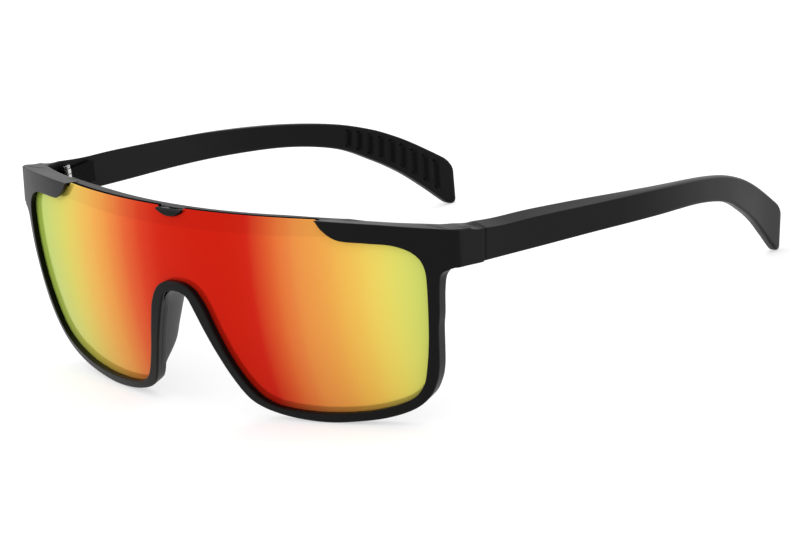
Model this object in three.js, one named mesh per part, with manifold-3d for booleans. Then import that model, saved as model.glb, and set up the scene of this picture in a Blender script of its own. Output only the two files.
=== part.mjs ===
// Glacier glasses: one wide shield lens in a moulded nylon front, with two folding temples.
// Millimetres. X runs across the face, Y from the front back to the ears, Z up.
// They stand open as on a table, on the rim's two low points and the two temple tips.
// Left and right are the wearer's, so the left side is at +X.
import * as THREE from "three";
import { mergeVertices } from "three/addons/utils/BufferGeometryUtils.js";
import Module from "manifold-3d";

const wasm = await Module();
wasm.setup();

// Fit
const SEAT_GAP = 0.3; // between a piece and what carries it
const TURN_GAP = 0.2; // between hinge barrels, and round the screw
const CUT_OVERRUN = 10; // how far a cutting shape runs past what it cuts

// Front
const FRONT_HEIGHT = 52; // table to the lens's top edge
const FRONT_HALF_WIDTH = 71.5; // middle to the corner where the front turns back
const FRONT_RADIUS = 133; // plan curve of the front
const FRONT_SWELL = 2.75; // how far the front swells forward at half height
const FRONT_LEAN = 3.1; // how far its bottom lies behind its top
const swellMiddleShare = 0.54; // height of the most forward line
const swellReachShare = 0.46; // from there to where the swell ends

// Rim, brow bar and tab
const RIM_DEPTH = 4.2;
const RIM_TAPER = 0.9; // how far the rim's outside draws in towards its rear
const BAR_DEPTH = 6.6;
const BAR_HEIGHT = 3.4;
const BAR_DROP = 1; // lens's top edge above the bar's
const BAR_SLOPE = 0.4; // how far the bar's top drops to the rear
const HOOD_SLOPE = 0.9; // how far the hoods' top drops to the rear
const barBlendShares = [0.76, 0.88]; // heights between which the rim deepens to the bar
const TAB_HALF_WIDTH = 4.9;
const TAB_HEIGHT = 2;
const TAB_INSET = 0.2; // tab's face behind the front's
const TAB_SLOPE = 1.6; // how far the upper half of its face leans back

// Lens
const LENS_THICKNESS = 1.5;
const LENS_RECESS = 1.2; // lens's face behind the front's
const LENS_TUCK = 0.8; // how far the lens runs in under the rim
const SLAB_OVERRUN = 1.5; // how far the curved slabs run past the outlines cut from them

// Nose pads
const PAD_DEPTH = 14; // front's face to the pad's rear edge
const PAD_FLARE = 5; // how far the rear edge stands outwards
const PAD_THICKNESS = 2.2;
const PAD_INSET = 0.3; // step from the rim's edge to the pad
const PAD_ROOT = 0.8; // how far the pad's root runs into the rim

// Endpieces, where the front turns back to the temples
const ENDPIECE_LENGTH = 10.4;
const ENDPIECE_SPREAD = 1.4; // its side face outside the front's corner
const CORNER_ROUND = 1.7; // how far back the corner's rounding runs
const CORNER_DROP = 3.3; // lens's top edge above the front's top at its corner
const CORNER_DEPTH = 9; // height of the corner's side face
const JOINT_DROP = 4.9; // lens's top edge above the endpiece's and temple's top where they meet
const JOINT_HEIGHT = 8.5;
const TOP_FALL = 0.9; // how far the top's outer part falls to the side face
const TOP_FALL_WIDTH = 2;

// Temples
const TEMPLE_LENGTH = 128.2; // joint to the tip, along Y
const TEMPLE_TIP_CUT = 1.6; // how far the tip's lower end lies ahead of the upper
const TEMPLE_THICKNESS = 4.3;
const TIP_THICKNESS = 2.7;
const TEMPLE_BOW = 1.4; // how far the arm swells outwards past the joint
const TIP_INSET = 15.7; // how far the tip bends inwards
const TIP_TWIST = 1.4; // how far the tip's under edge turns in past its upper edge
const TIP_TOP = 10.6;
const TIP_SINK = 1.6; // how far the under line would run below the table if the tip weren't rounded
const TEMPLE_EDGE = 0.55; // bevel along the arm's outer edges
const TIP_ROUND = 3; // rounding of the tip's corners
const GRIP_COUNT = 9;
const GRIP_PITCH = 3.05;
const GRIP_START = 98.3; // joint to the first grip groove
const GRIP_WIDTH = 1.5;
const GRIP_DEPTH = 0.5;
const gripHeightShare = 0.62;

// Hinges
const BARREL_RADIUS = 1.15;
const BARREL_COUNT = 5;
const BARREL_PITCH = 1.36;
const SCREW_RADIUS = 0.5;
const SCREW_HEAD_RADIUS = 1;
const SCREW_HEAD_HEIGHT = 0.5;
const SCREW_SLOT = 0.3;
const LEAF_THICKNESS = 0.6;
const LEAF_HEIGHT = 5.4;
const FRONT_LEAF_LENGTH = 4.4;
const TEMPLE_LEAF_LENGTH = 8.4;

// Sizes worked out from the ones above
const lensRear = LENS_RECESS + LENS_THICKNESS;
const cornerTop = FRONT_HEIGHT - CORNER_DROP;
const jointTop = FRONT_HEIGHT - JOINT_DROP;
const jointY = frontY(FRONT_HALF_WIDTH, cornerTop) + ENDPIECE_LENGTH;
const jointX = FRONT_HALF_WIDTH + ENDPIECE_SPREAD; // outer face at the joint
const innerX = jointX - TEMPLE_THICKNESS; // inner face at the joint
const pivotX = innerX - BARREL_RADIUS - TURN_GAP;
const pivotY = jointY + SEAT_GAP / 2;
const barrelFoot = jointTop - JOINT_HEIGHT + SEAT_GAP;

// Half outlines, from the top round the outside to the middle: shares of half width and height
const openingShares = [
  [0.579, 1], [0.603, 0.95], [0.656, 0.903], [0.746, 0.889], [0.831, 0.875], [0.892, 0.834],
  [0.92, 0.765], [0.921, 0.64], [0.906, 0.452], [0.879, 0.29], [0.847, 0.187], [0.785, 0.12],
  [0.655, 0.069], [0.493, 0.05], [0.352, 0.062], [0.282, 0.094], [0.234, 0.16], [0.186, 0.288],
  [0.149, 0.427], [0.121, 0.538], [0.087, 0.612], [0.045, 0.648], [0, 0.656],
];
const rimShares = [
  [0.998, 0.764], [0.978, 0.752], [0.963, 0.722], [0.956, 0.65], [0.948, 0.548], [0.938, 0.477],
  [0.926, 0.365], [0.914, 0.282], [0.895, 0.21], [0.862, 0.14], [0.802, 0.078], [0.706, 0.033],
  [0.592, 0.009], [0.493, 0], [0.394, 0.01], [0.317, 0.031], [0.256, 0.062], [0.214, 0.108],
  [0.175, 0.202], [0.139, 0.313], [0.107, 0.419], [0.077, 0.519], [0.054, 0.581], [0.028, 0.602],
  [0, 0.608],
];
const hoodShares = [[0.58, 0.995], [0.79, 0.974], [1, cornerTop / FRONT_HEIGHT]]; // their top line
const padShares = [
  [0.048, 0.581], [0.077, 0.519], [0.107, 0.419], [0.139, 0.313], [0.175, 0.202], [0.21, 0.118],
];
const padDepthShares = [0.42, 0.86, 1, 0.96, 0.86, 0.6, 0.36];

// Temple lines, from the joint to the tip: shares of its length, and of the drop or the bend
const topLineShares = [
  [0, 0], [0.06, 0.036], [0.156, 0.078], [0.312, 0.163], [0.468, 0.254], [0.624, 0.361],
  [0.741, 0.469], [0.819, 0.576], [0.874, 0.68], [0.92, 0.787], [0.975, 0.93], [1, 1],
];
const underLineShares = [
  [0, 0], [0.158, 0.062], [0.316, 0.122], [0.474, 0.19], [0.632, 0.274], [0.75, 0.387],
  [0.829, 0.532], [0.885, 0.661], [0.932, 0.798], [0.976, 0.937], [1, 1],
];
const twistShares = [0.75, 1]; // shares of the length over which the tip twists
const fallFadeShare = 0.15; // share of the length over which the top's fall settles

// The arm's outer face, from the joint to the tip: shares of its length, the bow and the tip's inset
const armShares = [
  [0, 0, 0], [0.078, 0.07, 0], [0.156, 0.29, 0], [0.234, 0.58, 0], [0.312, 0.87, 0],
  [0.39, 1, 0], [0.468, 0.71, 0], [0.546, 0, 0.011], [0.624, 0, 0.129], [0.702, 0, 0.28],
  [0.78, 0, 0.457], [0.858, 0, 0.648], [0.92, 0, 0.806], [1, 0, 1],
];

function frontY(x, z) {
  const height = z / FRONT_HEIGHT;
  const swell = 1 - ((height - swellMiddleShare) / swellReachShare) ** 2;
  const wrap = FRONT_RADIUS - Math.sqrt(FRONT_RADIUS ** 2 - x ** 2);
  return wrap + FRONT_LEAN * (1 - height) - FRONT_SWELL * swell;
}

// Solids and cuts
function solidOf(geometry) {
  const bare = geometry.clone();
  bare.deleteAttribute("normal");
  bare.deleteAttribute("uv");
  const merged = mergeVertices(bare);
  const mesh = new wasm.Mesh({
    numProp: 3,
    vertProperties: new Float32Array(merged.attributes.position.array),
    triVerts: new Uint32Array(merged.index.array),
  });
  return new wasm.Manifold(mesh);
}

function geometryOf(solid) {
  const mesh = solid.getMesh();
  const geometry = new THREE.BufferGeometry();
  geometry.setAttribute("position", new THREE.BufferAttribute(mesh.vertProperties, mesh.numProp));
  geometry.setIndex(new THREE.BufferAttribute(mesh.triVerts, 1));
  return geometry;
}

function box(low, high) {
  const size = high.map((value, axis) => value - low[axis]);
  const geometry = new THREE.BoxGeometry(...size);
  geometry.translate(...low.map((value, axis) => value + size[axis] / 2));
  return solidOf(geometry);
}

// An outline in two axes, drawn along the third from one place to another
function drawn(points, axisA, axisB, from, to) {
  const shape = new THREE.Shape(points.map(([a, b]) => new THREE.Vector2(a, b)));
  const geometry = new THREE.ExtrudeGeometry(shape, { depth: to - from, bevelEnabled: false });
  geometry.translate(0, 0, from);
  const axisC = new THREE.Vector3().crossVectors(axisA, axisB);
  geometry.applyMatrix4(new THREE.Matrix4().makeBasis(axisA, axisB, axisC));
  return solidOf(geometry);
}

const X = new THREE.Vector3(1, 0, 0);
const Y = new THREE.Vector3(0, 1, 0);
const Z = new THREE.Vector3(0, 0, 1);
const prism = (points) => drawn(points, X, Z, -FRONT_HALF_WIDTH, CUT_OVERRUN); // along Y
const plan = (points, from, to) => drawn(points, X, Y, from, to); // along Z
const profile = (points, from, to) => drawn(points, Y, Z, from, to); // along X

// A closed body between two surfaces that share their rows and columns
function closedBetween(rows, columns, near, far) {
  const positions = [];
  const index = [];
  for (const layer of [near, far]) {
    for (let row = 0; row <= rows; row++) {
      for (let column = 0; column <= columns; column++) {
        positions.push(...layer(row / rows, column / columns));
      }
    }
  }
  const at = (layer, row, column) => (layer * (rows + 1) + row) * (columns + 1) + column;
  const quad = (a, b, c, d) => index.push(a, b, c, a, c, d);
  for (let row = 0; row < rows; row++) {
    for (let column = 0; column < columns; column++) {
      const [up, over] = [row + 1, column + 1];
      quad(at(0, row, column), at(0, row, over), at(0, up, over), at(0, up, column));
      quad(at(1, row, column), at(1, up, column), at(1, up, over), at(1, row, over));
    }
  }
  for (let row = 0; row < rows; row++) {
    quad(at(0, row, 0), at(0, row + 1, 0), at(1, row + 1, 0), at(1, row, 0));
    quad(at(0, row + 1, columns), at(0, row, columns), at(1, row, columns), at(1, row + 1, columns));
  }
  for (let column = 0; column < columns; column++) {
    quad(at(0, 0, column + 1), at(0, 0, column), at(1, 0, column), at(1, 0, column + 1));
    quad(at(0, rows, column), at(0, rows, column + 1), at(1, rows, column + 1), at(1, rows, column));
  }
  const geometry = new THREE.BufferGeometry();
  geometry.setAttribute("position", new THREE.Float32BufferAttribute(positions, 3));
  geometry.setIndex(index);
  return geometry;
}

// A curved slab that follows the front, between two depths behind its face
const slabRows = 9;
const slabColumns = 38;
function slab(nearDepth, farDepth) {
  const reach = FRONT_HALF_WIDTH + SLAB_OVERRUN;
  const surface = (depth) => (row, column) => {
    const x = THREE.MathUtils.lerp(-reach, reach, column);
    const z = THREE.MathUtils.lerp(-SLAB_OVERRUN, FRONT_HEIGHT + SLAB_OVERRUN, row);
    return [x, frontY(x, z) + depth(x, z), z];
  };
  return solidOf(closedBetween(slabRows, slabColumns, surface(nearDepth), surface(farDepth)));
}
const even = (depth) => () => depth;

// The outline's blank, with sides that draw in by the rim's taper from the front's face to the rear
function taperedBlank(points) {
  const count = points.length;
  const ring = [points[count - 1], ...points, points[0]];
  const drawnIn = (depth) => offset(ring, (depth * RIM_TAPER) / RIM_DEPTH).slice(1, -1);
  const behindFace = (depth) => drawnIn(depth).map(([x, z]) => [x, frontY(x, z) + depth, z]);
  const flat = (depth, y) => drawnIn(depth).map(([x, z]) => [x, y, z]);
  const rings = [
    flat(-LENS_RECESS, -CUT_OVERRUN), behindFace(-LENS_RECESS),
    behindFace(BAR_DEPTH), flat(BAR_DEPTH, FRONT_HALF_WIDTH),
  ];
  const index = [];
  for (let start = 0; start < (rings.length - 1) * count; start += count) {
    for (let place = 0; place < count; place++) {
      const [a, b] = [start + place, start + ((place + 1) % count)];
      index.push(a, a + count, b + count, a, b + count, b);
    }
  }
  const cap = THREE.ShapeUtils.triangulateShape(points.map(([x, z]) => new THREE.Vector2(x, z)), []);
  const last = (rings.length - 1) * count;
  for (const [a, b, c] of cap) {
    index.push(a, b, c, last + a, last + c, last + b);
  }
  const geometry = new THREE.BufferGeometry();
  geometry.setAttribute("position", new THREE.Float32BufferAttribute(rings.flat(2), 3));
  geometry.setIndex(index);
  return solidOf(geometry);
}

function rimDepth(x, z) {
  const [low, high] = barBlendShares;
  const rise = THREE.MathUtils.smoothstep(z / FRONT_HEIGHT, low, high);
  return RIM_DEPTH + (BAR_DEPTH - RIM_DEPTH) * rise;
}

// Outlines
const atFront = ([across, up]) => [across * FRONT_HALF_WIDTH, up * FRONT_HEIGHT];

function curve(shares, steps) {
  const points = shares.map((share) => new THREE.Vector2(...atFront(share)));
  return new THREE.SplineCurve(points).getPoints(steps).map((point) => [point.x, point.y]);
}

// Each point of a line moved square to it, to its left on the way along; the middle stays in the middle
function offset(points, distance) {
  return points.map(([x, z], place) => {
    const before = points[Math.max(place - 1, 0)];
    const after = points[Math.min(place + 1, points.length - 1)];
    const along = new THREE.Vector2(after[0] - before[0], after[1] - before[1]).normalize();
    const across = x === 0 ? 0 : x - along.y * distance;
    return [across, z + along.x * distance];
  });
}

// A half outline that starts at the top and ends at the middle, closed by its mirror image
function mirrored(half) {
  const other = half.filter(([x]) => x > 0).reverse().map(([x, z]) => [-x, z]);
  return [...half, ...other].reverse();
}

const outlineSteps = 66;
const openingLine = curve(openingShares, outlineSteps);
const lensTop = FRONT_HEIGHT;
const barTop = FRONT_HEIGHT - BAR_DROP;

function underTop(points, top) {
  return points.map(([x, z]) => [x, Math.min(z, top)]);
}

// The tab's half outline, half a parabola that hangs from the lens's top edge
function tabLine(halfWidth, foot, top) {
  const steps = 10;
  return Array.from({ length: steps + 1 }, (_, step) => {
    const across = step / steps;
    return [halfWidth * across, THREE.MathUtils.lerp(foot, top, across ** 2)];
  });
}
const tabFoot = lensTop - TAB_HEIGHT;

function lensOutline(clearance) {
  const edge = offset(openingLine, LENS_TUCK + clearance);
  const notch = tabLine(TAB_HALF_WIDTH + SEAT_GAP - clearance, tabFoot - SEAT_GAP + clearance, lensTop);
  return mirrored([...notch, ...underTop(edge, lensTop)]);
}

// Front frame
function endpiece() {
  const cornerY = frontY(FRONT_HALF_WIDTH, cornerTop);
  const inside = FRONT_HALF_WIDTH - CORNER_ROUND;
  const rear = frontY(innerX, cornerTop) + BAR_DEPTH;
  const steps = 4;
  const corner = Array.from({ length: steps + 1 }, (_, step) => {
    const turn = ((Math.PI / 2) * step) / steps;
    return [
      FRONT_HALF_WIDTH + ENDPIECE_SPREAD * Math.sin(turn),
      cornerY + CORNER_ROUND - (CORNER_ROUND - SEAT_GAP) * Math.cos(turn),
    ];
  });
  const outline = [
    [inside, frontY(inside, cornerTop) + SEAT_GAP],
    ...corner,
    [jointX, jointY],
    [innerX, jointY],
    [innerX, rear],
    [innerX - TEMPLE_THICKNESS, rear - TEMPLE_THICKNESS / 2],
    [innerX - TEMPLE_THICKNESS / 2, frontY(innerX, cornerTop) + LENS_RECESS],
  ];
  const topSlope = (cornerTop - jointTop) / ENDPIECE_LENGTH;
  const underSlope = (cornerTop - CORNER_DEPTH - jointTop + JOINT_HEIGHT) / ENDPIECE_LENGTH;
  const ahead = CUT_OVERRUN / 2;
  const side = [
    [cornerY - ahead, cornerTop - CORNER_DEPTH + underSlope * ahead],
    [jointY + ahead, jointTop - JOINT_HEIGHT - underSlope * ahead],
    [jointY + ahead, jointTop - topSlope * ahead],
    [cornerY - ahead, cornerTop + topSlope * ahead],
  ];
  const body = plan(outline, 0, FRONT_HEIGHT).intersect(profile(side, 0, jointX + CUT_OVERRUN));
  return body.subtract(endpieceFall(cornerY, topSlope));
}

// What is cut away above the endpiece, where its top falls to the side face, more and more to the joint
function endpieceFall(cornerY, topSlope) {
  const start = cornerY - CORNER_ROUND;
  const face = (rise) => (row, column) => {
    const out = THREE.MathUtils.lerp(-2, 1, column);
    const y = THREE.MathUtils.lerp(start, jointY + CORNER_ROUND, row);
    const fall = (TOP_FALL * (1 + out) * (y - start)) / (jointY - start);
    return [jointX + TOP_FALL_WIDTH * out, y, cornerTop - topSlope * (y - cornerY) - fall + rise];
  };
  const rows = 5;
  return solidOf(closedBetween(rows, 1, face(CUT_OVERRUN), face(0)));
}

// A nose pad: from the nose edge of the rim it runs back and outwards
function nosePad() {
  const rows = 14;
  const columns = 7;
  const edge = new THREE.SplineCurve(padShares.map((share) => new THREE.Vector2(...atFront(share))));
  const reach = new THREE.SplineCurve(
    padDepthShares.map((share, place) => new THREE.Vector2(place, share)),
  );
  const face = (thickness) => (row, column) => {
    const start = edge.getPoint(row);
    const root = RIM_DEPTH - PAD_ROOT;
    const depth = root + (PAD_DEPTH * reach.getPoint(row).y - root) * column;
    const flare = (PAD_FLARE * (depth - root)) / (PAD_DEPTH - root);
    const slim = 1 - column ** 4 / 2;
    return [start.x + PAD_INSET + flare + thickness * slim, frontY(start.x, start.y) + depth, start.y];
  };
  return solidOf(closedBetween(rows, columns, face(0), face(PAD_THICKNESS)));
}

// What is cut away above the bar and the hoods, so that their top slopes down to the rear
function aboveTop() {
  const [hoodStart, hoodMiddle, corner] = hoodShares.map(atFront);
  const bends = [
    [0, barTop],
    [hoodStart[0] - BAR_DROP / 2, barTop],
    hoodStart,
    hoodMiddle,
    corner,
    [FRONT_HALF_WIDTH + CUT_OVERRUN, corner[1]],
  ];
  const top = (x) => {
    const next = Math.max(1, bends.findIndex(([bendX]) => bendX >= Math.abs(x)));
    const [from, to] = [bends[next - 1], bends[next]];
    return THREE.MathUtils.mapLinear(Math.abs(x), from[0], to[0], from[1], to[1]);
  };
  const stops = bends.slice(1).flatMap(([x], place) => {
    const from = bends[place][0];
    const steps = Math.ceil((x - from) / SLAB_OVERRUN / 4);
    return Array.from({ length: steps }, (_, step) => THREE.MathUtils.lerp(from, x, (step + 1) / steps));
  });
  const line = [...stops.map((x) => -x).reverse(), 0, ...stops];
  const face = (rise) => (row, column) => {
    const x = line[Math.round(column * (line.length - 1))];
    const depth = THREE.MathUtils.lerp(-BAR_DEPTH, 2 * BAR_DEPTH, row);
    const across = Math.min(Math.abs(x), FRONT_HALF_WIDTH + SLAB_OVERRUN);
    const drop = Math.abs(x) < hoodStart[0] ? BAR_SLOPE : HOOD_SLOPE;
    return [x, frontY(across, top(x)) + depth, top(x) - (drop * depth) / BAR_DEPTH + rise];
  };
  return solidOf(closedBetween(1, line.length - 1, face(CUT_OVERRUN), face(0)));
}

// The tab stands in the lens's notch, and its face leans back from its foot to the bar's top
function centreTab() {
  const half = tabLine(TAB_HALF_WIDTH, tabFoot, lensTop).reverse();
  const face = frontY(0, lensTop) + TAB_INSET;
  const over = FRONT_HEIGHT + CUT_OVERRUN;
  const lean = [
    [face - TAB_SLOPE, (tabFoot + barTop) / 2],
    [face + TAB_SLOPE, barTop + TAB_INSET],
    [face + TAB_SLOPE, over],
    [face - TAB_SLOPE, over],
  ];
  const body = prism(mirrored([[0, lensTop], ...half]));
  const tab = body.intersect(slab(even(TAB_INSET), even(BAR_DEPTH - SEAT_GAP)));
  const raised = aboveTop().translate([0, 0, TAB_INSET]);
  return tab.subtract(profile(lean, -FRONT_HALF_WIDTH, FRONT_HALF_WIDTH)).subtract(raised);
}

// What the lens's opening takes out: the rear part under the bar, the front part and the groove
function frameOpenings() {
  const barFoot = barTop - BAR_HEIGHT;
  const above = FRONT_HEIGHT + CUT_OVERRUN;
  const overTop = [[0, above], [openingLine[0][0], above]];
  const grooveLine = offset(openingLine, LENS_TUCK + SEAT_GAP);
  const rear = mirrored([[0, barFoot], ...underTop(openingLine, barFoot)]);
  const front = mirrored([...overTop, ...openingLine]);
  const groove = mirrored([...overTop, ...grooveLine]);
  const toLens = slab(even(-CUT_OVERRUN), even((LENS_RECESS + lensRear) / 2));
  const roundLens = slab(even(LENS_RECESS - SEAT_GAP), even(lensRear + SEAT_GAP));
  return [prism(rear), prism(front).intersect(toLens), prism(groove).intersect(roundLens)];
}

function frontFrame() {
  const rim = curve(rimShares, outlineSteps);
  const top = FRONT_HEIGHT + CUT_OVERRUN;
  const outer = mirrored([[0, top], [rim[0][0], top], ...rim]);
  const inPairs = (body, half) => body.add(half).add(half.mirror([1, 0, 0]));
  const blank = slab(even(0), rimDepth).intersect(taperedBlank(outer)).subtract(aboveTop());
  let frame = inPairs(blank, endpiece());
  for (const opening of frameOpenings()) {
    frame = frame.subtract(opening);
  }
  return geometryOf(inPairs(frame.add(centreTab()), nosePad()));
}

// Shield lens
function shieldLens() {
  const lens = slab(even(LENS_RECESS), even(lensRear)).intersect(prism(lensOutline(0)));
  return geometryOf(lens);
}

// Temple
const lineOf = (shares, across, along) =>
  new THREE.SplineCurve(shares.map(([a, b]) => new THREE.Vector2(a * across, b * along)));

// A line's second value where its first value is the one given
const lineSteps = 200;
function placeOn(line, at) {
  const points = line.getPoints(lineSteps);
  const next = points.findIndex((point) => point.x > at);
  if (next === -1) return points[points.length - 1].y;
  const [before, after] = [points[Math.max(next - 1, 0)], points[Math.max(next, 1)]];
  return THREE.MathUtils.mapLinear(at, before.x, after.x, before.y, after.y);
}

const armLine = new THREE.SplineCurve(
  armShares.map(([along, bow, inset]) => {
    return new THREE.Vector2(along * TEMPLE_LENGTH, bow * TEMPLE_BOW - inset * TIP_INSET);
  }),
);
const templeX = (distance) => jointX + placeOn(armLine, distance); // its outer face

// How far the twist takes a point of the arm inwards; up is its share of the arm's height there
function tipTwist(distance, up) {
  return TIP_TWIST * (1 - up) * THREE.MathUtils.smoothstep(distance / TEMPLE_LENGTH, ...twistShares);
}

function templeThickness(distance) {
  return THREE.MathUtils.lerp(TEMPLE_THICKNESS, TIP_THICKNESS, distance / TEMPLE_LENGTH);
}

const topLine = lineOf(topLineShares, TEMPLE_LENGTH, jointTop - TIP_TOP);
const underLength = TEMPLE_LENGTH - TEMPLE_TIP_CUT;
const underLine = lineOf(underLineShares, underLength, jointTop - JOINT_HEIGHT + TIP_SINK);

// The arm's top and under points at a share of its length
function templeEdges(share) {
  const length = THREE.MathUtils.lerp(SEAT_GAP, TEMPLE_LENGTH, share);
  const under = THREE.MathUtils.lerp(SEAT_GAP, underLength, share);
  return {
    top: new THREE.Vector2(length, jointTop - placeOn(topLine, length)),
    under: new THREE.Vector2(under, jointTop - JOINT_HEIGHT - placeOn(underLine, under)),
  };
}

function templeArm() {
  const stations = 32;
  const tipStations = 4;
  const positions = [];
  const index = [];
  for (let station = 0; station <= stations; station++) {
    const tip = Math.max(0, station - stations + tipStations) / tipStations;
    const straight = Math.min(station, stations - tipStations) / (stations - tipStations);
    const turned = TIP_ROUND * Math.sin((tip * Math.PI) / 2);
    const drawnIn = TIP_ROUND * (1 - Math.cos((tip * Math.PI) / 2));
    const length = straight * (TEMPLE_LENGTH - TIP_ROUND) + turned;
    const { top, under } = templeEdges(length / TEMPLE_LENGTH);
    const height = top.y - under.y;
    const settled = THREE.MathUtils.smoothstep(length, 0, TEMPLE_LENGTH * fallFadeShare);
    const topFall = THREE.MathUtils.lerp(TOP_FALL, TEMPLE_EDGE, settled);
    const fallWidth = THREE.MathUtils.lerp(TOP_FALL_WIDTH, TEMPLE_EDGE, settled);
    const end = drawnIn / height;
    const corners = [
      [end + TEMPLE_EDGE / height, 0], [1 - end - topFall / height, 0], [1 - end, fallWidth],
      [1 - end, null], [end, null], [end, TEMPLE_EDGE],
    ];
    for (const [up, inward] of corners) {
      const point = under.clone().lerp(top, up);
      const depth = inward ?? templeThickness(point.x);
      positions.push(templeX(point.x) - tipTwist(point.x, up) - depth, jointY + point.x, point.y);
    }
  }
  const sides = positions.length / 3 / (stations + 1);
  for (let start = 0; start < stations * sides; start += sides) {
    for (let side = 0; side < sides; side++) {
      const [a, b] = [start + side, start + ((side + 1) % sides)];
      index.push(a, a + sides, b + sides, a, b + sides, b);
    }
  }
  const last = stations * sides;
  for (let side = 1; side < sides - 1; side++) {
    index.push(0, side, side + 1, last, last + side + 1, last + side);
  }
  const geometry = new THREE.BufferGeometry();
  geometry.setAttribute("position", new THREE.Float32BufferAttribute(positions, 3));
  geometry.setIndex(index);
  return solidOf(geometry);
}

// A grip groove across the inner face near the tip
function gripGroove(number) {
  const share = (GRIP_START + number * GRIP_PITCH) / TEMPLE_LENGTH;
  const { top, under } = templeEdges(share);
  const middle = under.clone().lerp(top, 1 / 2);
  const height = (top.y - under.y) * gripHeightShare;
  const geometry = new THREE.BoxGeometry(2 * GRIP_DEPTH, GRIP_WIDTH, height);
  geometry.rotateX(Math.atan2(top.x - under.x, top.y - under.y) * -1);
  const inner = templeX(middle.x) - tipTwist(middle.x, 1 / 2) - templeThickness(middle.x);
  geometry.translate(inner, jointY + middle.x, middle.y);
  return solidOf(geometry);
}

function temple() {
  let arm = templeArm();
  for (let number = 0; number < GRIP_COUNT; number++) {
    arm = arm.subtract(gripGroove(number));
  }
  return geometryOf(arm);
}

// Hinge: barrels on one axis, turn about, on the front leaf and on the temple leaf
const barrelHeight = BARREL_PITCH - TURN_GAP;
const barrelSides = 16;
const leafX = innerX - SEAT_GAP;
const barrelsTop = barrelFoot + BARREL_COUNT * BARREL_PITCH - TURN_GAP;

function cylinder(radius, from, to) {
  const geometry = new THREE.CylinderGeometry(radius, radius, to - from, barrelSides);
  geometry.rotateX(Math.PI / 2);
  geometry.translate(pivotX, pivotY, (from + to) / 2);
  return solidOf(geometry);
}

function hingeLeaf(firstBarrel, away, length) {
  const clear = BARREL_RADIUS + TURN_GAP;
  const plateFrom = pivotY + away * clear;
  const plateTo = plateFrom + away * length;
  const foot = barrelFoot + (barrelsTop - barrelFoot - LEAF_HEIGHT) / 2;
  const [low, high] = [Math.min(plateFrom, plateTo), Math.max(plateFrom, plateTo)];
  let leaf = box([leafX - LEAF_THICKNESS, low, foot], [leafX, high, foot + LEAF_HEIGHT]);
  for (let barrel = firstBarrel; barrel < BARREL_COUNT; barrel += 2) {
    const from = barrelFoot + barrel * BARREL_PITCH;
    const to = from + barrelHeight;
    const webEnd = plateFrom + away * TURN_GAP;
    const webStart = pivotY + away * SCREW_RADIUS;
    const [webLow, webHigh] = [Math.min(webStart, webEnd), Math.max(webStart, webEnd)];
    leaf = leaf.add(cylinder(BARREL_RADIUS, from, to));
    leaf = leaf.add(box([leafX - LEAF_THICKNESS, webLow, from], [leafX, webHigh, to]));
  }
  const bore = cylinder(SCREW_RADIUS + TURN_GAP, barrelFoot - TURN_GAP, barrelsTop + TURN_GAP);
  return geometryOf(leaf.subtract(bore));
}

function hingeScrew() {
  const headFrom = barrelsTop + TURN_GAP;
  const headTo = headFrom + SCREW_HEAD_HEIGHT;
  const points = [
    [0, barrelFoot], [SCREW_RADIUS, barrelFoot], [SCREW_RADIUS, headFrom],
    [SCREW_HEAD_RADIUS, headFrom], [SCREW_HEAD_RADIUS, headTo], [0, headTo],
  ];
  const geometry = new THREE.LatheGeometry(points.map(([r, z]) => new THREE.Vector2(r, z)), barrelSides);
  geometry.rotateX(Math.PI / 2);
  geometry.translate(pivotX, pivotY, 0);
  const slotFloor = headTo - SCREW_HEAD_HEIGHT / 2;
  const reach = SCREW_HEAD_RADIUS + TURN_GAP;
  const slot = box(
    [pivotX - reach, pivotY - SCREW_SLOT / 2, slotFloor],
    [pivotX + reach, pivotY + SCREW_SLOT / 2, headTo + TURN_GAP],
  );
  return geometryOf(solidOf(geometry).subtract(slot));
}

// Materials
const nylon = () => new THREE.MeshStandardMaterial({ color: 0x1c1c1d, roughness: 0.55, metalness: 0 });
const mirror = () => new THREE.MeshStandardMaterial({ color: 0xd7432a, roughness: 0.06, metalness: 0.85 });
const steel = () => new THREE.MeshStandardMaterial({ color: 0xb9bbbd, roughness: 0.28, metalness: 1 });

function piece(name, geometry, material) {
  const mesh = new THREE.Mesh(geometry, material);
  mesh.name = name;
  return mesh;
}

// Assembly
const glasses = new THREE.Group();
glasses.add(piece("front_frame", frontFrame(), nylon()));
glasses.add(piece("shield_lens", shieldLens(), mirror()));
for (const [side, sign] of [["left", 1], ["right", -1]]) {
  const half = new THREE.Group();
  half.scale.x = sign;
  half.add(piece(`temple_${side}`, temple(), nylon()));
  half.add(piece(`hinge_front_leaf_${side}`, hingeLeaf(0, -1, FRONT_LEAF_LENGTH), steel()));
  half.add(piece(`hinge_temple_leaf_${side}`, hingeLeaf(1, 1, TEMPLE_LEAF_LENGTH), steel()));
  half.add(piece(`hinge_screw_${side}`, hingeScrew(), steel()));
  glasses.add(half);
}

// The origin is on the table, in the middle of the footprint
const bounds = new THREE.Box3().setFromObject(glasses);
glasses.position.set(0, -(bounds.min.y + bounds.max.y) / 2, -bounds.min.z);

export default glasses;
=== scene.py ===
import bmesh
import bpy
import numpy as np
from mathutils import Euler, Matrix, Vector


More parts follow.
